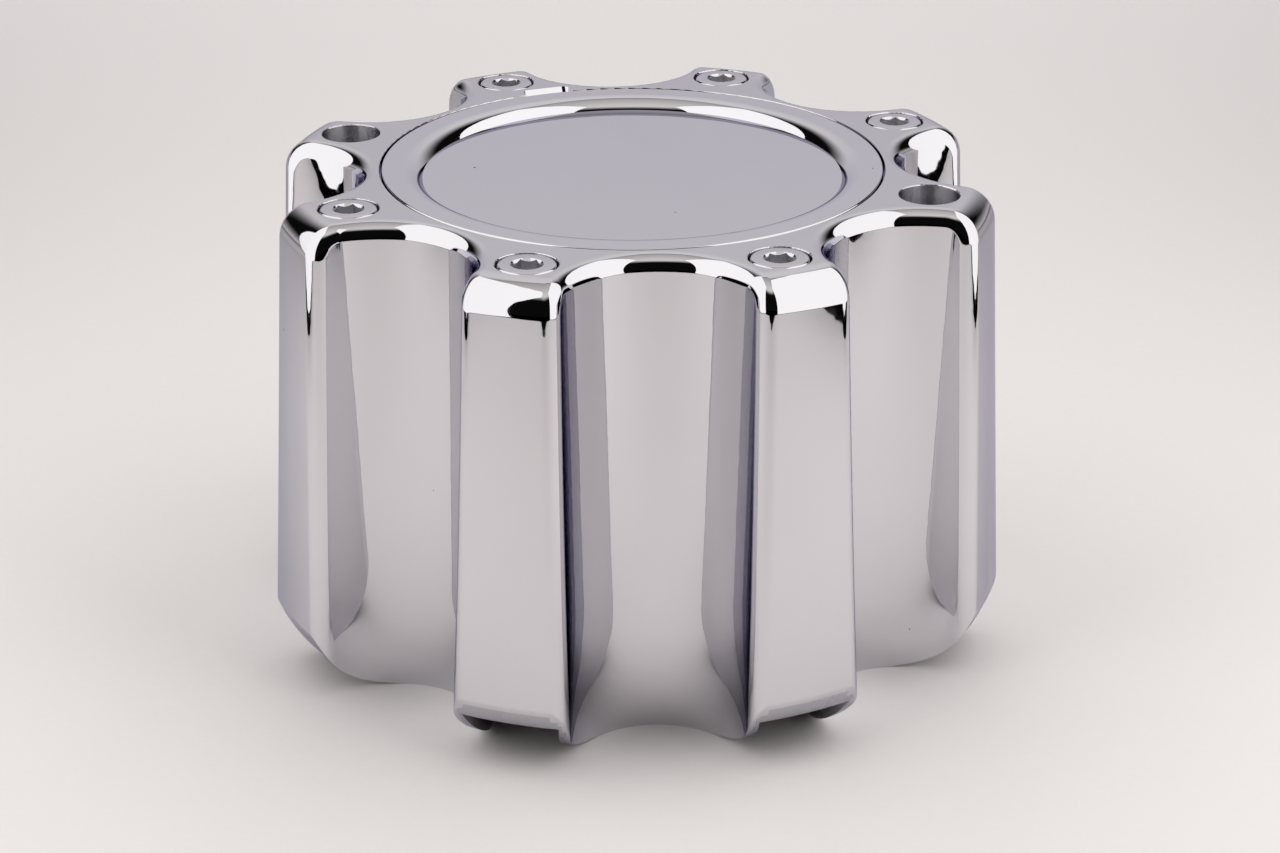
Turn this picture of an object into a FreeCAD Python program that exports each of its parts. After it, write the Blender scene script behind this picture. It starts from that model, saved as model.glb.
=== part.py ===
import FreeCAD, Part
import math
import os

# Wheel center cap for an eight-lug wheel: a hollow fluted shell standing on its open rim,
# a snap-in disc in its top, and six socket screws sunk in its lobes.
# Millimetres, +Z up, origin on the axis at the level of the lower rim.

V = FreeCAD.Vector
UP = V(0, 0, 1)

# Shell, outside. Its radii follow from the circle of the lug nuts that the flutes clear.
cap_height = 112.5
lug_circle_radius = 82.55
lobe_overhang = 5.35
wall_draft = 2.6
top_edge_radius = 7.5
lobe_count = 8
wall = 2.5

# Rim: a flat ring on the wheel that turns up in an arc to the side of the lobes
rim_round_reach = 21.4
rim_round_height = 16.0

# Flutes, centred on the lug nuts at half height: the inner line is upright and the sides have draft
flute_radius = 20.3
flute_draft = 1.0
flute_edge_radius = 3.6

# Seat of the disc, a wall inside the flutes
seat_wall = 4.25
seat_edge = 0.3
seat_depth = 5.4
ledge_width = 11.0

# Screw places in the lobes, for M8 socket head cap screws with their heads level with the top
screw_inset = 17.9
head_diameter = 13.0
head_height = 8.0
head_edge = 0.8
head_clearance = 0.35
hole_lip = 0.25
hex_width = 6.0
hex_depth = 4.0
hex_lip = 0.1
shank_diameter = 8.0
shank_length = 12.0
shank_tip = 0.9
thread_clearance = 0.05
mount_hole_diameter = 9.0
boss_radius = 9.4
boss_height = 24.0

# Disc
disc_clearance = 0.45
disc_edge = 0.5
disc_wall = 2.4
disc_rim = 9.35
disc_lip_radius = 5.2
disc_lip_turn = 60.0
leg_count = 6
leg_width = 11.0
leg_thickness = 2.4
leg_clearance = 0.6
leg_hook = 1.2
leg_hook_height = 3.5
leg_play = 0.15

# Slot for the blade that lifts the disc
slot_angle = 129.0
slot_width = 11.9
slot_reach = 3.6
slot_depth = 3.4
slot_slope = 27.0
slot_end_radius = 1.6

# Extra length that lets a cutting solid pass right through
over = 20.0

lobe_pitch = 360.0 / lobe_count
draft = math.radians(wall_draft)
flute_taper = math.tan(math.radians(flute_draft))
outer_radius = lug_circle_radius + lobe_overhang
rim_flat_radius = outer_radius - rim_round_reach
seat_radius = lug_circle_radius - flute_radius - seat_wall
ledge_opening_radius = seat_radius - ledge_width
screw_circle_radius = outer_radius - screw_inset
open_lobes = (0, lobe_count // 2)
screw_lobes = [k for k in range(lobe_count) if k not in open_lobes]
seat_floor = cap_height - seat_depth
ledge_bottom = seat_floor - wall
bore_radius = head_diameter / 2 + head_clearance
bore_floor = cap_height - head_height
shank_end = bore_floor - shank_length
boss_bottom = cap_height - boss_height


def revolved(edges):
    return Part.Face(Part.Wire(edges)).revolve(V(0, 0, 0), UP, 360)


def outline(points):
    return Part.makePolygon([V(r, 0, z) for r, z in points + points[:1]])


def turned(shape, angle):
    copy = shape.copy()
    copy.rotate(V(0, 0, 0), UP, angle)
    return copy


def at_lobes(shape, lobes):
    return [turned(shape, k * lobe_pitch) for k in lobes]


def cylinder(radius, low, high, x=0.0):
    return Part.makeCylinder(radius, high - low, V(x, 0, low))


def rounded(shape, radius, wanted):
    return shape.makeFillet(radius, [e for e in shape.Edges if wanted(e)])


def is_ring(edge, radius, z):
    """True for a full circle of this radius at this height."""
    if not isinstance(edge.Curve, Part.Circle):
        return False
    box = edge.BoundBox
    return abs(edge.Curve.Radius - radius) < 1e-4 and abs(box.ZMin - z) < 1e-4 and abs(box.ZMax - z) < 1e-4


def wall_radius(z):
    return outer_radius + (rim_round_height - z) * math.tan(draft)


def drafted_drum(inset, top, edge_radius, low):
    """Solid of revolution: the drafted side moved in by inset, and a rounded top edge."""
    side = inset / math.cos(draft)
    centre_z = top - edge_radius
    centre_r = wall_radius(centre_z) - side - edge_radius / math.cos(draft)
    half = (math.pi / 2 + draft) / 2
    axis_low = V(0, 0, low)
    axis_top = V(0, 0, top)
    foot = V(wall_radius(low) - side, 0, low)
    tangent = V(centre_r + edge_radius * math.cos(draft), 0, centre_z + edge_radius * math.sin(draft))
    middle = V(centre_r + edge_radius * math.cos(half), 0, centre_z + edge_radius * math.sin(half))
    crown = V(centre_r, 0, top)
    return revolved([
        Part.makeLine(axis_low, foot),
        Part.makeLine(foot, tangent),
        Part.Arc(tangent, middle, crown).toShape(),
        Part.makeLine(crown, axis_top),
        Part.makeLine(axis_top, axis_low),
    ])


def rim_bowl():
    """Everything above the rim: a flat floor that turns up in an arc through the side of the lobes."""
    radius = (rim_round_reach ** 2 + rim_round_height ** 2) / (2 * rim_round_height)
    slant = radius * math.sqrt(0.5)
    top = cap_height + over
    floor_end = V(rim_flat_radius, 0, 0)
    arc_middle = V(rim_flat_radius + slant, 0, radius - slant)
    arc_end = V(rim_flat_radius + radius, 0, radius)
    wall_top = V(rim_flat_radius + radius, 0, top)
    axis_top = V(0, 0, top)
    axis_low = V(0, 0, 0)
    return revolved([
        Part.makeLine(axis_low, floor_end),
        Part.Arc(floor_end, arc_middle, arc_end).toShape(),
        Part.makeLine(arc_end, wall_top),
        Part.makeLine(wall_top, axis_top),
        Part.makeLine(axis_top, axis_low),
    ])


def flared_bore(radius, lip, floor):
    """Cutting solid for a bore from the top down to a floor, with its mouth rounded over."""
    slant = lip * (1 - math.sqrt(0.5))
    high = cap_height + over
    axis_low = V(0, 0, floor)
    axis_top = V(0, 0, high)
    foot = V(radius, 0, floor)
    mouth_low = V(radius, 0, cap_height - lip)
    mouth_middle = V(radius + slant, 0, cap_height - slant)
    mouth_top = V(radius + lip, 0, cap_height)
    clear = V(radius + lip, 0, high)
    return revolved([
        Part.makeLine(axis_low, foot),
        Part.makeLine(foot, mouth_low),
        Part.Arc(mouth_low, mouth_middle, mouth_top).toShape(),
        Part.makeLine(mouth_top, clear),
        Part.makeLine(clear, axis_top),
        Part.makeLine(axis_top, axis_low),
    ])


def flutes(extra):
    """Leaning cones, one between each two lobes, with their radius enlarged by extra."""
    low = -2 * over
    high = cap_height + over
    growth_low = (low - cap_height / 2) * flute_taper
    growth_high = (high - cap_height / 2) * flute_taper
    start = V(lug_circle_radius + growth_low, 0, low)
    end = V(lug_circle_radius + growth_high, 0, high)
    cone = Part.makeCone(flute_radius + growth_low + extra, flute_radius + growth_high + extra,
                         start.distanceToPoint(end), start, end - start)
    return at_lobes(cone, [k + 0.5 for k in range(lobe_count)])


def is_flute(face):
    return isinstance(face.Surface, Part.Cone) and abs(face.Surface.Axis.z) < 1 - 1e-6


def round_flute_edges(shape, radius):
    """Round the edge of every flute in one run: up the lobe, across the top and down again."""
    edges = []
    for face in shape.Faces:
        if is_flute(face):
            edges += [e for e in face.Edges if e.BoundBox.ZMax > 0]
    return shape.makeFillet(radius, edges)


# Outside form: a drafted drum with a rounded top edge, fluted, and the edges of the flutes rounded.
# The rim is bowl shaped, so the lobes end clear of the wheel and the flutes touch it.
form = drafted_drum(0, cap_height, top_edge_radius, -over)
form = form.cut(flutes(0))
form = round_flute_edges(form, flute_edge_radius)
form = form.common(rim_bowl())

# Hollow: the same form moved in by the wall, kept clear of the disc seat and of the screw bosses
hollow = drafted_drum(wall, cap_height - wall, top_edge_radius - wall, -over)
hollow = hollow.cut(flutes(wall))
core = cylinder(seat_radius + wall, ledge_bottom, cap_height + over)
boss = cylinder(boss_radius, boss_bottom, cap_height, screw_circle_radius)
hollow = hollow.cut([core] + at_lobes(boss, range(lobe_count)))

cap_body = form.cut(hollow)
cap_body = cap_body.cut([
    flared_bore(seat_radius, seat_edge, seat_floor),
    cylinder(ledge_opening_radius, ledge_bottom - over, cap_height),
])

# Screw places: a bore for the head in every lobe, a tapped hole below six of them and a
# clearance hole through the two that take the mounting screws
bore = flared_bore(bore_radius, hole_lip, bore_floor)
bore.translate(V(screw_circle_radius, 0, 0))
tapped = cylinder(shank_diameter / 2 + thread_clearance, shank_end - thread_clearance, cap_height,
                  screw_circle_radius)
through = cylinder(mount_hole_diameter / 2, boss_bottom - over, cap_height, screw_circle_radius)
cap_body = cap_body.cut(at_lobes(bore, range(lobe_count)))
cap_body = cap_body.cut(at_lobes(tapped, screw_lobes) + at_lobes(through, open_lobes))

# Slot for a blade, open to the disc seat: its back slopes up to the top, and its corners are rounded
slope = math.tan(math.radians(slot_slope))
slot_floor = cap_height - slot_depth
slot_top = cap_height + over
slot_end = seat_radius + slot_reach
slot = Part.Face(outline([
    (seat_radius - slot_reach, slot_floor),
    (slot_end - slot_depth * slope, slot_floor),
    (slot_end + over * slope, slot_top),
    (seat_radius - slot_reach, slot_top),
])).extrude(V(0, slot_width, 0))
slot.translate(V(0, -slot_width / 2, 0))
slot = rounded(slot, slot_end_radius,
               lambda e: e.BoundBox.XMin > seat_radius and e.BoundBox.ZLength > slot_depth)
cap_body = cap_body.cut(turned(slot, slot_angle))

# Disc: one moulding with an even wall, a flat rim rolled into a recess, and hooked legs on its back.
# It lies on the ledge of the seat, and its legs reach through the opening and grip below it.
disc_radius = seat_radius - disc_clearance
recess_radius = disc_radius - disc_rim
lip_turn = math.radians(disc_lip_turn)
lip_centre_r = recess_radius + disc_lip_radius * math.sin(lip_turn)
lip_centre_z = cap_height - disc_lip_radius
recess_floor = lip_centre_z + disc_lip_radius * math.cos(lip_turn)
half_turn = lip_turn / 2
axis_low = V(0, 0, seat_floor)
axis_top = V(0, 0, recess_floor)
lip_low = V(recess_radius, 0, recess_floor)
lip_middle = V(lip_centre_r - disc_lip_radius * math.sin(half_turn), 0,
               lip_centre_z + disc_lip_radius * math.cos(half_turn))
lip_high = V(lip_centre_r, 0, cap_height)
edge_top = V(disc_radius, 0, cap_height)
edge_low = V(disc_radius, 0, seat_floor)
disc = revolved([
    Part.makeLine(axis_low, axis_top),
    Part.makeLine(axis_top, lip_low),
    Part.Arc(lip_low, lip_middle, lip_high).toShape(),
    Part.makeLine(lip_high, edge_top),
    Part.makeLine(edge_top, edge_low),
    Part.makeLine(edge_low, axis_low),
])
groove = cylinder(disc_radius - disc_wall, seat_floor - over, cap_height - disc_wall)
groove = groove.cut(cylinder(recess_radius + disc_wall, seat_floor - over, cap_height - disc_wall))
disc = disc.cut(groove)
disc = rounded(disc, disc_edge, lambda e: is_ring(e, disc_radius, cap_height))

leg_outer = ledge_opening_radius - leg_clearance
leg_inner = leg_outer - leg_thickness
hook_reach = ledge_opening_radius + leg_hook
hook_top = ledge_bottom - leg_play
hook_low = hook_top - leg_hook_height
leg = Part.Face(outline([
    (leg_inner, recess_floor),
    (leg_outer, recess_floor),
    (leg_outer, hook_top),
    (hook_reach, hook_top),
    (leg_outer, hook_low),
    (leg_inner, hook_low),
])).extrude(V(0, leg_width, 0))
leg.translate(V(0, -leg_width / 2, 0))
legs = [turned(leg, (k + 0.5) * 360.0 / leg_count) for k in range(leg_count)]
center_disc = disc.fuse(legs).removeSplitter()

# Screw: cylinder head with a rounded edge and a hexagon socket, plain shank with a bevelled tip
head = cylinder(head_diameter / 2, bore_floor, cap_height)
head = rounded(head, head_edge, lambda e: is_ring(e, head_diameter / 2, cap_height))
hex_corner = hex_width / math.sqrt(3)
corners = [FreeCAD.Rotation(UP, 60 * k).multVec(V(hex_corner, 0, cap_height)) for k in range(7)]
socket = Part.Face(Part.makePolygon(corners)).extrude(V(0, 0, -hex_depth))
mouth_depth = hex_corner + hex_lip - hex_width / 2
mouth = Part.makeCone(hex_width / 2, hex_corner + hex_lip, mouth_depth, V(0, 0, cap_height - mouth_depth))
shank = cylinder(shank_diameter / 2, shank_end, bore_floor)
shank = shank.makeChamfer(shank_tip, [e for e in shank.Edges if is_ring(e, shank_diameter / 2, shank_end)])
screw = head.fuse(shank).removeSplitter().cut([socket, mouth])
screw.translate(V(screw_circle_radius, 0, 0))
socket_screws = Part.makeCompound(at_lobes(screw, screw_lobes))

os.makedirs("parts", exist_ok=True)
cap_body.exportStep("parts/cap_body.step")
center_disc.exportStep("parts/center_disc.step")
socket_screws.exportStep("parts/socket_screws.step")
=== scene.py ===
import math
import bmesh
import bpy
import numpy as np
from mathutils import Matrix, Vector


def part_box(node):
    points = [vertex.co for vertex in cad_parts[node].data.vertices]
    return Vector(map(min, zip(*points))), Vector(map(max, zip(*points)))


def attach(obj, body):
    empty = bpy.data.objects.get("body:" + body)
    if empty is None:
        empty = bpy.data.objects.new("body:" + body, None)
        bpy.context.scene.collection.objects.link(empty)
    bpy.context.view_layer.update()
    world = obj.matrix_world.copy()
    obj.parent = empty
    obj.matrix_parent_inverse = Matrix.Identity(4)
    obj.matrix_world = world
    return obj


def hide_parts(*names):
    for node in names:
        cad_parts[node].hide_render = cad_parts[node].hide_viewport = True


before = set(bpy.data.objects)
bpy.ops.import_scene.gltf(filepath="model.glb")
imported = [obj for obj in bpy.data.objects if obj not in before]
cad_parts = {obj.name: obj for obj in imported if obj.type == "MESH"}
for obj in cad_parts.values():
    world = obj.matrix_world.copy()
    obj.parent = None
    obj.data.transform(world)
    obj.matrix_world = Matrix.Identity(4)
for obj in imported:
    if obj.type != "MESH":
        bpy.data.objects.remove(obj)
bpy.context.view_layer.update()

# Shell
# One hollow ABS moulding with eight lobes and eight flutes, open below, chrome plated all over.
# The plating is a mirror, so the mesh is the solid's own and its corners take the form's true normals.

mm = 0.001
lobe_pitch = math.radians(45)
shell_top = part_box("cap_body")[1].z
side_radius = 87.9 * mm
side_foot = 16.0 * mm
side_draft = math.radians(2.6)
top_edge = 7.5 * mm
lug_circle = 82.55 * mm
flute_radius = 20.3 * mm
flute_lean = math.radians(1.0)
flute_edge = 3.6 * mm
screw_circle = 70.0 * mm
bore_radius = 6.85 * mm
bore_floor = 104.5 * mm

edge_centre_z = shell_top - top_edge
edge_centre_r = (side_radius + (side_foot - edge_centre_z) * math.tan(side_draft)
                 - top_edge / math.cos(side_draft))
flute_axis = np.array([math.sin(flute_lean), 0.0, math.cos(flute_lean)])
flute_middle = np.array([lug_circle, 0.0, shell_top / 2])
flute_slope = math.atan(math.sin(flute_lean))
tiny = 1e-9


def merged_copy(node, name):
    """The solid's triangles as a new mesh, joined along the faces' seams."""
    weld = 0.001 * mm
    work = bmesh.new()
    work.from_mesh(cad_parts[node].data)
    bmesh.ops.remove_doubles(work, verts=work.verts, dist=weld)
    points = [v.co[:] for v in work.verts]
    work.verts.index_update()
    triangles = [[v.index for v in f.verts] for f in work.faces]
    work.free()
    mesh = bpy.data.meshes.new(name)
    mesh.from_pydata(points, [], triangles)
    mesh.polygons.foreach_set("use_smooth", [True] * len(mesh.polygons))
    mesh.update()
    return mesh


def place(mesh):
    """The mesh as an object at the origin."""
    piece = bpy.data.objects.new(mesh.name, mesh)
    bpy.context.collection.objects.link(piece)
    return piece


def mesh_arrays(mesh):
    """The mesh's points, and the points of each triangle."""
    points = np.empty(len(mesh.vertices) * 3)
    mesh.vertices.foreach_get("co", points)
    triangles = np.empty(len(mesh.loops), dtype=int)
    mesh.loops.foreach_get("vertex_index", triangles)
    return points.reshape(-1, 3), triangles.reshape(-1, 3)


def turned(points, angle):
    """Points turned about the cap's axis."""
    x = points[:, 0] * np.cos(angle) - points[:, 1] * np.sin(angle)
    y = points[:, 0] * np.sin(angle) + points[:, 1] * np.cos(angle)
    return np.column_stack([x, y, points[:, 2]])


def inset_drum(points):
    """Distance from the drum moved in by the flutes' edge radius, and the way in which it grows."""
    r = np.hypot(points[:, 0], points[:, 1])
    out = r - edge_centre_r
    up = points[:, 2] - edge_centre_z
    lift = np.clip(np.arctan2(up, out), side_draft, math.pi / 2)
    distance = out * np.cos(lift) + up * np.sin(lift) - (top_edge - flute_edge)
    level_part = np.cos(lift) / r
    return distance, np.column_stack([level_part * points[:, 0], level_part * points[:, 1], np.sin(lift)])


def inset_flute(points):
    """Depth in the flute widened by its edge radius, and the way in which it grows."""
    from_middle = points - flute_middle
    along = from_middle @ flute_axis
    across = from_middle - along[:, None] * flute_axis
    span = np.linalg.norm(across, axis=1)
    depth = (flute_radius + along * math.sin(flute_lean) - span) * math.cos(flute_slope) + flute_edge
    return depth, math.sin(flute_slope) * flute_axis - math.cos(flute_slope) * across / span[:, None]


def shell_skin(points):
    """Which points lie on the shell's outside, its normals, and how far each point stands off it.

    The outside is rounded as by a ball that rolls along the flutes' edges, so it lies one ball radius
    off the same form moved in by that radius, and the nearest point in there gives the normal.
    """
    rounds = 12
    on_it = 0.02 * mm
    angle = (np.floor(np.arctan2(points[:, 1], points[:, 0]) / lobe_pitch) + 0.5) * lobe_pitch
    here = turned(points, -angle)
    near = here.copy()
    for _ in range(rounds):
        drum, drum_way = inset_drum(near)
        flute, flute_way = inset_flute(near)
        drum = drum + ((here - near) * drum_way).sum(1)
        flute = flute + ((here - near) * flute_way).sum(1)
        share = (drum_way * flute_way).sum(1)
        rest = np.maximum(1 - share ** 2, tiny)
        drum_step = (drum - share * flute) / rest
        flute_step = (flute - share * drum) / rest
        only_flute = drum_step <= 0
        only_drum = (flute_step <= 0) & ~only_flute
        drum_step = np.where(only_drum, np.maximum(drum, 0), np.where(only_flute, 0, drum_step))
        flute_step = np.where(only_flute, np.maximum(flute, 0), np.where(only_drum, 0, flute_step))
        near = here - drum_step[:, None] * drum_way - flute_step[:, None] * flute_way
    normals = here - near
    length = np.linalg.norm(normals, axis=1)
    normals = normals / np.maximum(length, tiny)[:, None]
    stand_off = length - flute_edge
    return abs(stand_off) < on_it, turned(normals, angle), stand_off


def shade_true(mesh, surfaces):
    """Give the corners of each face the normals of the first surface that the whole face lies on."""
    sharp_angle = math.radians(28)
    agreement = 2.7
    mesh.set_sharp_from_angle(angle=sharp_angle)
    points, triangles = mesh_arrays(mesh)
    corners = np.empty(len(mesh.loops) * 3)
    mesh.corner_normals.foreach_get("vector", corners)
    corners = corners.reshape(-1, 3, 3)
    flat = np.empty(len(mesh.polygons) * 3)
    mesh.polygons.foreach_get("normal", flat)
    flat = flat.reshape(-1, 3)
    done = np.zeros(len(triangles), dtype=bool)
    for lies_on, normals in surfaces:
        agrees = (normals[triangles].sum(1) * flat).sum(1) > agreement
        fits = lies_on[triangles].all(1) & agrees & ~done
        corners[fits] = normals[triangles[fits]]
        done |= fits
    mesh.normals_split_custom_set(corners.reshape(-1, 3))


def linear(colour):
    """A hex colour in linear light, with full alpha."""
    parts = [int(colour[i:i + 2], 16) / 255 for i in (1, 3, 5)]
    light = [c / 12.92 if c <= 0.04045 else ((c + 0.055) / 1.055) ** 2.4 for c in parts]
    return (*light, 1.0)


def add(tree, kind, settings=(), values=(), links=()):
    """A new node with its settings, its sockets' values and the outputs that feed its sockets."""
    node = tree.nodes.new(kind)
    for name, value in dict(settings).items():
        setattr(node, name, value)
    for socket, value in dict(values).items():
        node.inputs[socket].default_value = value
    for socket, source in dict(links).items():
        tree.links.new(source, node.inputs[socket])
    return node


def plating(name, bright, dull, smooth, rough, wave_height):
    """Chrome plating: a cool grey mirror that darkens towards its edges, with faint smears from
    wiping, shallow waves from the moulding below it and a few specks of dust.
    """
    smear_size = 30 * mm
    wave_size = 18 * mm
    speck_spacing = 9 * mm
    speck_radius = 0.035
    material = bpy.data.materials.new(name)
    material.use_nodes = True
    tree = material.node_tree
    shader = tree.nodes["Principled BSDF"]
    shader.inputs["Metallic"].default_value = 1.0
    shader.inputs["Specular Tint"].default_value = linear("#cbcad7")
    where = add(tree, "ShaderNodeTexCoord").outputs["Object"]
    smear = add(tree, "ShaderNodeTexNoise", links={"Vector": where},
                values={"Scale": 1 / smear_size, "Detail": 4.0, "Distortion": 0.6})
    tint = add(tree, "ShaderNodeMix", {"data_type": "RGBA"}, {6: linear(bright), 7: linear(dull)},
               {0: smear.outputs["Fac"]})
    gloss = add(tree, "ShaderNodeMapRange", links={"Value": smear.outputs["Fac"]},
                values={"From Min": 0.35, "From Max": 0.75, "To Min": smooth, "To Max": rough})
    cells = add(tree, "ShaderNodeTexVoronoi", values={"Scale": 1 / speck_spacing}, links={"Vector": where})
    draw = add(tree, "ShaderNodeSeparateColor", links={"Color": cells.outputs["Color"]})
    size = add(tree, "ShaderNodeMapRange", links={"Value": draw.outputs["Red"]},
               values={"From Min": 0.75, "From Max": 1.0, "To Min": 0.0, "To Max": speck_radius})
    speck = add(tree, "ShaderNodeMath", {"operation": "LESS_THAN"},
                links={0: cells.outputs["Distance"], 1: size.outputs["Result"]})
    dusty = add(tree, "ShaderNodeMix", {"data_type": "RGBA"}, {7: linear("#4a433c")},
                {0: speck.outputs["Value"], 6: tint.outputs[2]})
    matt = add(tree, "ShaderNodeMath", {"operation": "MAXIMUM"},
               links={0: gloss.outputs["Result"], 1: speck.outputs["Value"]})
    wave = add(tree, "ShaderNodeTexNoise", links={"Vector": where},
               values={"Scale": 1 / wave_size, "Detail": 3.0})
    bump = add(tree, "ShaderNodeBump", values={"Strength": 1.0, "Distance": wave_height},
               links={"Height": wave.outputs["Fac"]})
    tree.links.new(dusty.outputs[2], shader.inputs["Base Color"])
    tree.links.new(matt.outputs["Value"], shader.inputs["Roughness"])
    tree.links.new(bump.outputs["Normal"], shader.inputs["Normal"])
    return material


def bored(points, radius, circle):
    """The walls of the upright bores in the lobes, which face their axes."""
    on_it = 0.005 * mm
    angle = np.round(np.arctan2(points[:, 1], points[:, 0]) / lobe_pitch) * lobe_pitch
    to_axis = np.column_stack([circle * np.cos(angle), circle * np.sin(angle), points[:, 2]]) - points
    away = np.linalg.norm(to_axis, axis=1)
    return abs(away - radius) < on_it, to_axis / np.maximum(away, tiny)[:, None]


shell_mesh = merged_copy("cap_body", "shell")
shell_points, shell_triangles = mesh_arrays(shell_mesh)
on_skin, skin_normals, stand_off = shell_skin(shell_points)
on_bore, bore_normals = bored(shell_points, bore_radius, screw_circle)
shade_true(shell_mesh, [(on_skin, skin_normals), (on_bore, bore_normals)])

# Out of sight the plating lies on the mould's own grain, which makes it dull.
inner_depth = 0.5 * mm
below_bores = bore_floor - 0.1 * mm
well_inside = (stand_off < -inner_depth) & (shell_points[:, 2] < below_bores)
inside = well_inside[shell_triangles].all(1)

# The mould's pins for the bores were turned, and the fine rings that this leaves draw each light out upwards.
in_bore = on_bore[shell_triangles].all(1)
polished = plating("chrome plating, polished", "#dbdade", "#d6d5d9", 0.015, 0.04, 0.08 * mm)
grained = plating("chrome plating, as moulded inside", "#c9c8cd", "#bab9be", 0.22, 0.34, 0.08 * mm)
ringed = plating("chrome plating, turned bores", "#dbdade", "#d6d5d9", 0.20, 0.24, 0.01 * mm)
shader = ringed.node_tree.nodes["Principled BSDF"]
shader.inputs["Anisotropic"].default_value = 1.0
upright = add(ringed.node_tree, "ShaderNodeCombineXYZ", values={"Z": 1.0})
ringed.node_tree.links.new(upright.outputs[0], shader.inputs["Tangent"])
for finish in (polished, grained, ringed):
    shell_mesh.materials.append(finish)
shell_mesh.polygons.foreach_set("material_index", np.where(in_bore, 2, inside))
shell = place(shell_mesh)
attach(shell, "root")
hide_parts("cap_body")

# Disc
# A round ABS moulding that snaps into the shell's top: a flat rim rolled into a shallow recess, plated.

disc_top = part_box("center_disc")[1].z
disc_radius = 57.55 * mm
disc_edge = 0.5 * mm
lip_radius = 5.2 * mm
lip_turn = math.radians(60)
recess_radius = 48.2 * mm
recess_floor = disc_top - lip_radius * (1 - math.cos(lip_turn))


def level(points, z):
    """A flat that faces up at this height."""
    on_it = 0.002 * mm
    normals = np.zeros_like(points)
    normals[:, 2] = 1
    return abs(points[:, 2] - z) < on_it, normals


def rolled(points, centre_r, centre_z, radius):
    """The rounding of a turned edge: a ring of this radius about the circle of its centre."""
    on_it = 0.01
    r = np.maximum(np.hypot(points[:, 0], points[:, 1]), tiny)
    out = (r - centre_r) / radius
    up = (points[:, 2] - centre_z) / radius
    normals = np.column_stack([out * points[:, 0] / r, out * points[:, 1] / r, up])
    return abs(np.hypot(out, up) - 1) < on_it, normals


disc_mesh = merged_copy("center_disc", "disc")
disc_points = mesh_arrays(disc_mesh)[0]
shade_true(disc_mesh, [
    level(disc_points, disc_top),
    level(disc_points, recess_floor),
    rolled(disc_points, recess_radius + lip_radius * math.sin(lip_turn), disc_top - lip_radius, lip_radius),
    rolled(disc_points, disc_radius - disc_edge, disc_top - disc_edge, disc_edge),
])
disc_mesh.materials.append(plating("chrome plating, disc", "#dddce1", "#d8d7dc", 0.02, 0.05, 0.05 * mm))
disc = place(disc_mesh)
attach(disc, "root")
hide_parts("center_disc")

# Screws
# Six socket head cap screws in steel, chrome plated, screwed into bosses in the lobes with their heads
# sunk level with the top. Two opposite lobes are left open for the screws that hold the cap to the wheel.

head_radius = 6.5 * mm
head_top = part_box("socket_screws")[1].z
head_edge = 0.8 * mm
hex_width = 6.0 * mm
hex_depth = 4.0 * mm
hex_lip = 0.1 * mm
shank_radius = 4.0 * mm
shank_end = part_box("socket_screws")[0].z
shank_tip = 0.9 * mm
socket_roughness = 0.32
sharp_angle = math.radians(35)
around = 72
edge_steps = 6

turn = np.arange(around) * 2 * math.pi / around
hex_ring = hex_width / 2 / np.cos((turn + math.pi / 6) % (math.pi / 3) - math.pi / 6)
mouth_radius = hex_width / math.sqrt(3) + hex_lip
mouth_low = head_top - mouth_radius + hex_width / 2
round_ring = np.ones(around)
rings = [
    (hex_ring * 0.5, round_ring * (head_top - hex_depth)),
    (hex_ring, round_ring * (head_top - hex_depth)),
    (hex_ring, mouth_low + hex_ring - hex_width / 2),
    (round_ring * mouth_radius, round_ring * head_top),
]
socket_rings = 3
for step in range(edge_steps + 1):
    lean = math.pi / 2 * (1 - step / edge_steps)
    rings.append((round_ring * (head_radius - head_edge + head_edge * math.cos(lean)),
                  round_ring * (head_top - head_edge + head_edge * math.sin(lean))))
for ring_radius, ring_z in ((head_radius, bore_floor), (shank_radius, bore_floor),
                            (shank_radius, shank_end + shank_tip), (shank_radius - shank_tip, shank_end)):
    rings.append((round_ring * ring_radius, round_ring * ring_z))
screw_points = [(0, 0, head_top - hex_depth)]
for radii, heights in rings:
    screw_points += list(zip(radii * np.cos(turn), radii * np.sin(turn), heights))
screw_points.append((0, 0, shank_end))
screw_faces = []
last = len(screw_points) - 1
for k in range(around):
    after = (k + 1) % around
    screw_faces.append((0, 1 + k, 1 + after))
    for ring in range(len(rings) - 1):
        low = 1 + ring * around
        high = low + around
        screw_faces.append((low + k, high + k, high + after, low + after))
    screw_faces.append((last, last - around + after, last - around + k))
screw_mesh = bpy.data.meshes.new("screws")
screw_mesh.from_pydata(screw_points, [], screw_faces)
screw_mesh.polygons.foreach_set("use_smooth", [True] * len(screw_mesh.polygons))
screw_mesh.set_sharp_from_angle(angle=sharp_angle)
screw_mesh.update()

# Each socket was forged with a punch and lies deep for the plating bath, so it is duller than the head.
in_socket = screw_mesh.attributes.new("in_socket", "FLOAT", "POINT")
for point in range(1 + socket_rings * around):
    in_socket.data[point].value = 1.0
screw_finish = plating("chrome plating on steel", "#dad9dd", "#d2d1d6", 0.04, 0.10, 0.01 * mm)
tree = screw_finish.node_tree
shader = tree.nodes["Principled BSDF"]
forged = add(tree, "ShaderNodeAttribute", {"attribute_name": "in_socket"})
forged_matt = add(tree, "ShaderNodeMath", {"operation": "MULTIPLY"}, {1: socket_roughness},
                  {0: forged.outputs["Fac"]})
socket_matt = add(tree, "ShaderNodeMath", {"operation": "MAXIMUM"},
                  links={0: shader.inputs["Roughness"].links[0].from_socket, 1: forged_matt.outputs[0]})
tree.links.new(socket_matt.outputs[0], shader.inputs["Roughness"])

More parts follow.
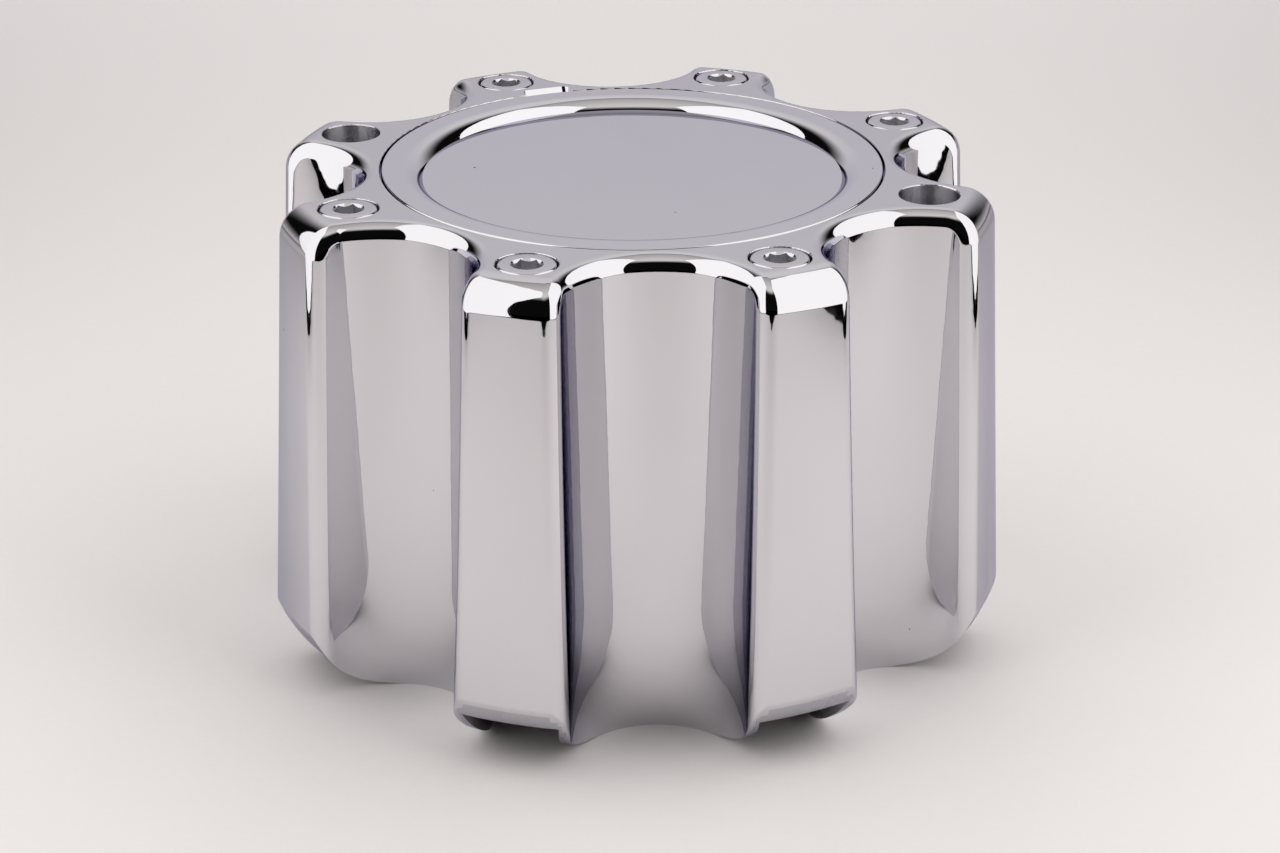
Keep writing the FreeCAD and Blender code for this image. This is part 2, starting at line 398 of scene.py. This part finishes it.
tree = bpy.data.node_groups.new("screws in the lobes", "GeometryNodeTree")
tree.interface.new_socket("Screw", in_out="INPUT", socket_type="NodeSocketGeometry")
tree.interface.new_socket("Lobes", in_out="INPUT", socket_type="NodeSocketInt")
tree.interface.new_socket("Circle", in_out="INPUT", socket_type="NodeSocketFloat")
tree.interface.new_socket("Open every", in_out="INPUT", socket_type="NodeSocketInt")
tree.interface.new_socket("Finish", in_out="INPUT", socket_type="NodeSocketMaterial")
tree.interface.new_socket("Screws", in_out="OUTPUT", socket_type="NodeSocketGeometry")
given = add(tree, "NodeGroupInput").outputs
circle = add(tree, "GeometryNodeMeshCircle", links={"Vertices": given["Lobes"], "Radius": given["Circle"]})
index = add(tree, "GeometryNodeInputIndex")
remainder = add(tree, "FunctionNodeIntegerMath", {"operation": "MODULO"},
                links={0: index.outputs[0], 1: given["Open every"]})
is_open = add(tree, "FunctionNodeCompare", {"data_type": "INT", "operation": "EQUAL"}, {3: 0},
              {2: remainder.outputs[0]})
lobes = add(tree, "GeometryNodeDeleteGeometry", {"domain": "POINT"},
            links={"Geometry": circle.outputs["Mesh"], "Selection": is_open.outputs[0]})
tightened = add(tree, "FunctionNodeRandomValue", {"data_type": "FLOAT_VECTOR"},
                {0: (0, 0, 0), 1: (0, 0, math.pi / 3), "Seed": 4})
screws_set = add(tree, "GeometryNodeInstanceOnPoints",
                 links={"Points": lobes.outputs["Geometry"], "Instance": given["Screw"],
                        "Rotation": tightened.outputs[0]})
solid = add(tree, "GeometryNodeRealizeInstances", links={"Geometry": screws_set.outputs["Instances"]})
finished = add(tree, "GeometryNodeSetMaterial",
               links={"Geometry": solid.outputs["Geometry"], "Material": given["Finish"]})
add(tree, "NodeGroupOutput", links={0: finished.outputs["Geometry"]})

screw_maker = place(screw_mesh)
modifier = screw_maker.modifiers.new("screws in the lobes", "NODES")
modifier.node_group = tree
sizes = {"Lobes": 8, "Circle": screw_circle, "Open every": 4, "Finish": screw_finish}
for item in tree.interface.items_tree:
    if item.in_out == "INPUT" and item.name in sizes:
        modifier[item.identifier] = sizes[item.name]
evaluated = screw_maker.evaluated_get(bpy.context.evaluated_depsgraph_get())
screws = place(bpy.data.meshes.new_from_object(evaluated))
bpy.data.objects.remove(screw_maker)
screws.name = "screws"
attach(screws, "root")
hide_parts("socket_screws")

# Floor
# A sweep of matt white paper under the cap. Mirrored in the chrome it ends at the soft boxes and a little
# way in front of the cap, where the room is dark; the camera sees it run on.

view_azimuth = math.radians(18.3457)
paper_reach = 4.0
paper_front = 0.43
paper_half_width = 0.345
box_back = 0.08
floor_edge = 64
floor_turn = np.arange(floor_edge) * 2 * math.pi / floor_edge
floor_points = paper_reach * np.column_stack([np.cos(floor_turn), np.sin(floor_turn), 0 * floor_turn])
floor_mesh = bpy.data.meshes.new("paper_floor")
floor_mesh.from_pydata(floor_points.tolist(), [], [tuple(range(floor_edge))])
paper = bpy.data.materials.new("matt white paper")
paper.use_nodes = True
tree = paper.node_tree
shader = tree.nodes["Principled BSDF"]
shader.inputs["Roughness"].default_value = 0.95
shader.inputs["Specular IOR Level"].default_value = 0.1
where = add(tree, "ShaderNodeTexCoord").outputs["Object"]
# Paper fibres are too fine to show, so they are drawn coarser here, as a faint mottle.
fibre_size = 2 * mm
fibres = add(tree, "ShaderNodeTexNoise", links={"Vector": where},
             values={"Scale": 1 / fibre_size, "Detail": 3.0})
tone = add(tree, "ShaderNodeMix", {"data_type": "RGBA"}, {6: linear("#e1dddd"), 7: linear("#dedada")},
           {0: fibres.outputs["Fac"]})
tree.links.new(tone.outputs[2], shader.inputs["Base Color"])
facing = add(tree, "ShaderNodeVectorRotate", {"rotation_type": "Z_AXIS"}, {"Angle": -view_azimuth},
             {"Vector": where})
spread = add(tree, "ShaderNodeSeparateXYZ", links={"Vector": facing.outputs["Vector"]})
sideways = add(tree, "ShaderNodeMath", {"operation": "ABSOLUTE"}, links={0: spread.outputs["X"]})
beside = add(tree, "ShaderNodeMath", {"operation": "GREATER_THAN"}, {1: paper_half_width},
             {0: sideways.outputs[0]})
in_front = add(tree, "ShaderNodeMath", {"operation": "LESS_THAN"}, {1: -paper_front},
               {0: spread.outputs["Y"]})
along_box = add(tree, "ShaderNodeMath", {"operation": "LESS_THAN"}, {1: box_back},
                {0: spread.outputs["Y"]})
past_side = add(tree, "ShaderNodeMath", {"operation": "MULTIPLY"},
                links={0: beside.outputs[0], 1: along_box.outputs[0]})
past_edge = add(tree, "ShaderNodeMath", {"operation": "MAXIMUM"},
                links={0: past_side.outputs[0], 1: in_front.outputs[0]})
seen_by = add(tree, "ShaderNodeLightPath")
mirrored = add(tree, "ShaderNodeMath", {"operation": "MULTIPLY"},
               links={0: past_edge.outputs[0], 1: seen_by.outputs["Is Glossy Ray"]})
dark = add(tree, "ShaderNodeBsdfDiffuse", values={"Color": linear("#060504")})
surface = add(tree, "ShaderNodeMixShader",
              links={0: mirrored.outputs[0], 1: shader.outputs[0], 2: dark.outputs[0]})
tree.links.new(surface.outputs[0], tree.nodes["Material Output"].inputs["Surface"])
floor_mesh.materials.append(paper)
floor = place(floor_mesh)

# Studio
# Two tall soft boxes to the left and right, a white ceiling that fades towards the back, a pale backdrop
# behind that fades to its sides, a lamp over the paper there, and a dark room round the camera.
# Angles are in degrees, from the camera's side and above the horizon.

backdrop_side = 150
backdrop_fade = 14
backdrop_top = 60
sweep_side = 108
sweep_fade = 9
ceiling_edge = 57
ceiling_white_to = 64
ceiling_back = 118
crisp = 0.6
room_dark = linear("#0d0d0d")
backdrop_pale = linear("#ebe7e6")
ceiling_white = linear("#ede9e5")
ceiling_dim = linear("#b3afaf")

world = bpy.data.worlds.new("studio")
bpy.context.scene.world = world
world.use_nodes = True
tree = world.node_tree
way = add(tree, "ShaderNodeTexCoord").outputs["Generated"]
facing = add(tree, "ShaderNodeVectorRotate", {"rotation_type": "Z_AXIS"}, {"Angle": -view_azimuth},
             {"Vector": way})
parts = add(tree, "ShaderNodeSeparateXYZ", links={"Vector": facing.outputs["Vector"]})
towards = add(tree, "ShaderNodeMath", {"operation": "MULTIPLY"}, {1: -1.0}, {0: parts.outputs["Y"]})
azimuth = add(tree, "ShaderNodeMath", {"operation": "ARCTAN2"},
              links={0: parts.outputs["X"], 1: towards.outputs[0]})
off_axis = add(tree, "ShaderNodeMath", {"operation": "ABSOLUTE"}, links={0: azimuth.outputs[0]})
height = add(tree, "ShaderNodeMath", {"operation": "ARCSINE"}, links={0: parts.outputs["Z"]})
over_head = add(tree, "ShaderNodeMath", {"operation": "ARCTAN2"},
                links={0: parts.outputs["Z"], 1: towards.outputs[0]})


def between(angle, low, high, soft):
    """1 where the angle lies between two bounds in degrees, and 0 outside, with a soft change."""
    rise = add(tree, "ShaderNodeMapRange", {"interpolation_type": "SMOOTHSTEP"},
               {"From Min": math.radians(low - soft), "From Max": math.radians(low + soft)},
               {"Value": angle.outputs[0]})
    fall = add(tree, "ShaderNodeMapRange", {"interpolation_type": "SMOOTHSTEP"},
               {"From Min": math.radians(high - soft), "From Max": math.radians(high + soft),
                "To Min": 1.0, "To Max": 0.0}, {"Value": angle.outputs[0]})
    return add(tree, "ShaderNodeMath", {"operation": "MULTIPLY"},
               links={0: rise.outputs[0], 1: fall.outputs[0]}).outputs[0]


hanging = add(tree, "ShaderNodeMath", {"operation": "MULTIPLY"},
              links={0: between(off_axis, backdrop_side, 200, backdrop_fade),
                     1: between(height, -5, backdrop_top, crisp)})
sweep = add(tree, "ShaderNodeMath", {"operation": "MULTIPLY"},
            links={0: between(off_axis, sweep_side, 200, 4), 1: between(height, -20, 3, sweep_fade)})
backdrop = add(tree, "ShaderNodeMath", {"operation": "MAXIMUM"},
               links={0: hanging.outputs[0], 1: sweep.outputs[0]})
room = add(tree, "ShaderNodeMix", {"data_type": "RGBA"}, {6: room_dark, 7: backdrop_pale},
           {0: backdrop.outputs[0]})
fading = add(tree, "ShaderNodeMapRange", links={"Value": over_head.outputs[0]},
             values={"From Min": math.radians(ceiling_white_to), "From Max": math.radians(ceiling_back)})
ceiling_tone = add(tree, "ShaderNodeMix", {"data_type": "RGBA"}, {6: ceiling_white, 7: ceiling_dim},
                   {0: fading.outputs[0]})
ceiling = add(tree, "ShaderNodeMath", {"operation": "MULTIPLY"},
              links={0: between(height, ceiling_edge, 100, 9),
                     1: between(over_head, -190, ceiling_back, crisp)})
light = add(tree, "ShaderNodeMix", {"data_type": "RGBA"},
            links={0: ceiling.outputs[0], 6: room.outputs[2], 7: ceiling_tone.outputs[2]})
seen_by = add(tree, "ShaderNodeLightPath")
shown = add(tree, "ShaderNodeMix", {"data_type": "RGBA"}, {7: linear("#e6e1e2")},
            {0: seen_by.outputs["Is Camera Ray"], 6: light.outputs[2]})
tree.links.new(shown.outputs[2], tree.nodes["Background"].inputs["Color"])
bpy.context.scene.view_settings.view_transform = "Standard"
mirrors_between_walls = 10
bpy.context.scene.cycles.glossy_bounces = mirrors_between_walls

# The boxes' cloth is lit from above, so it gives less light close to the paper. Mirrored straight to the
# eye it is just under white.
box_bottom = 0.004
box_top = 1.25
front_lean = 0.10
back_lean = 0.57
full_light_from = 0.14
light_at_foot = 0.1
mirrored_strength = 1.33
cloth_colour = linear("#fffdfb")
for name, strength, front_x, front_y, back_x in (("soft_box_left", 1.9, -0.335, -0.40, -0.365),
                                                 ("soft_box_right", 2.2, 0.345, -0.38, 0.37)):
    corners = np.array([(front_x, front_y - front_lean, box_bottom), (back_x, box_back, box_bottom),
                        (back_x, box_back + back_lean, box_top), (front_x, front_y, box_top)])
    box_mesh = bpy.data.meshes.new(name)
    box_mesh.from_pydata(turned(corners, view_azimuth).tolist(), [], [(0, 1, 2, 3)])
    cloth = bpy.data.materials.new("lit cloth of " + name)
    cloth.use_nodes = True
    tree = cloth.node_tree
    tree.nodes.remove(tree.nodes["Principled BSDF"])
    seen_by = add(tree, "ShaderNodeLightPath")
    straight = add(tree, "ShaderNodeMath", {"operation": "LESS_THAN"}, {1: 0.5},
                   {0: seen_by.outputs["Diffuse Depth"]})
    mirrored = add(tree, "ShaderNodeMath", {"operation": "MULTIPLY"},
                   links={0: seen_by.outputs["Is Glossy Ray"], 1: straight.outputs[0]})
    place_on = add(tree, "ShaderNodeSeparateXYZ",
                   links={"Vector": add(tree, "ShaderNodeTexCoord").outputs["Object"]})
    fed = add(tree, "ShaderNodeMapRange", links={"Value": place_on.outputs["Z"]},
              values={"From Max": full_light_from, "To Min": light_at_foot * strength, "To Max": strength})
    power = add(tree, "ShaderNodeMix", {"data_type": "FLOAT"}, {3: mirrored_strength},
                {0: mirrored.outputs[0], 2: fed.outputs["Result"]})
    glow = add(tree, "ShaderNodeEmission", values={"Color": cloth_colour},
               links={"Strength": power.outputs[0]})
    tree.links.new(glow.outputs[0], tree.nodes["Material Output"].inputs["Surface"])
    box_mesh.materials.append(cloth)
    soft_box = place(box_mesh)
    soft_box.visible_camera = False

lamp_width = 1.6
lamp_depth = 1.0
lamp_watts = 5.0
lamp_place = np.array([(0.0, 1.0, 0.5)])
back_lamp = bpy.data.lights.new("lamp over the paper behind", "AREA")
back_lamp.shape = "RECTANGLE"
back_lamp.size = lamp_width
back_lamp.size_y = lamp_depth
back_lamp.energy = lamp_watts
lamp = bpy.data.objects.new("lamp over the paper behind", back_lamp)
bpy.context.collection.objects.link(lamp)
lamp.location = turned(lamp_place, view_azimuth)[0]
lamp.rotation_euler = (0, 0, view_azimuth)
lamp.visible_camera = False
lamp.visible_glossy = False

# Camera
# Where the photograph was taken from, solved from the places of the screws. It looks across the cap's top
# with a long lens, and nothing is out of focus.

view_elevation = math.radians(23.3125)
view_place = (0.219844, -0.657278, 0.345236)
camera_data = bpy.data.cameras.new("camera")
camera_data.sensor_fit = "HORIZONTAL"
camera_data.sensor_width = 36.0
camera_data.lens = 89.2
camera = bpy.data.objects.new("camera", camera_data)
bpy.context.collection.objects.link(camera)
camera.location = view_place
camera.rotation_euler = (math.pi / 2 - view_elevation, 0, view_azimuth)
bpy.context.scene.camera = camera
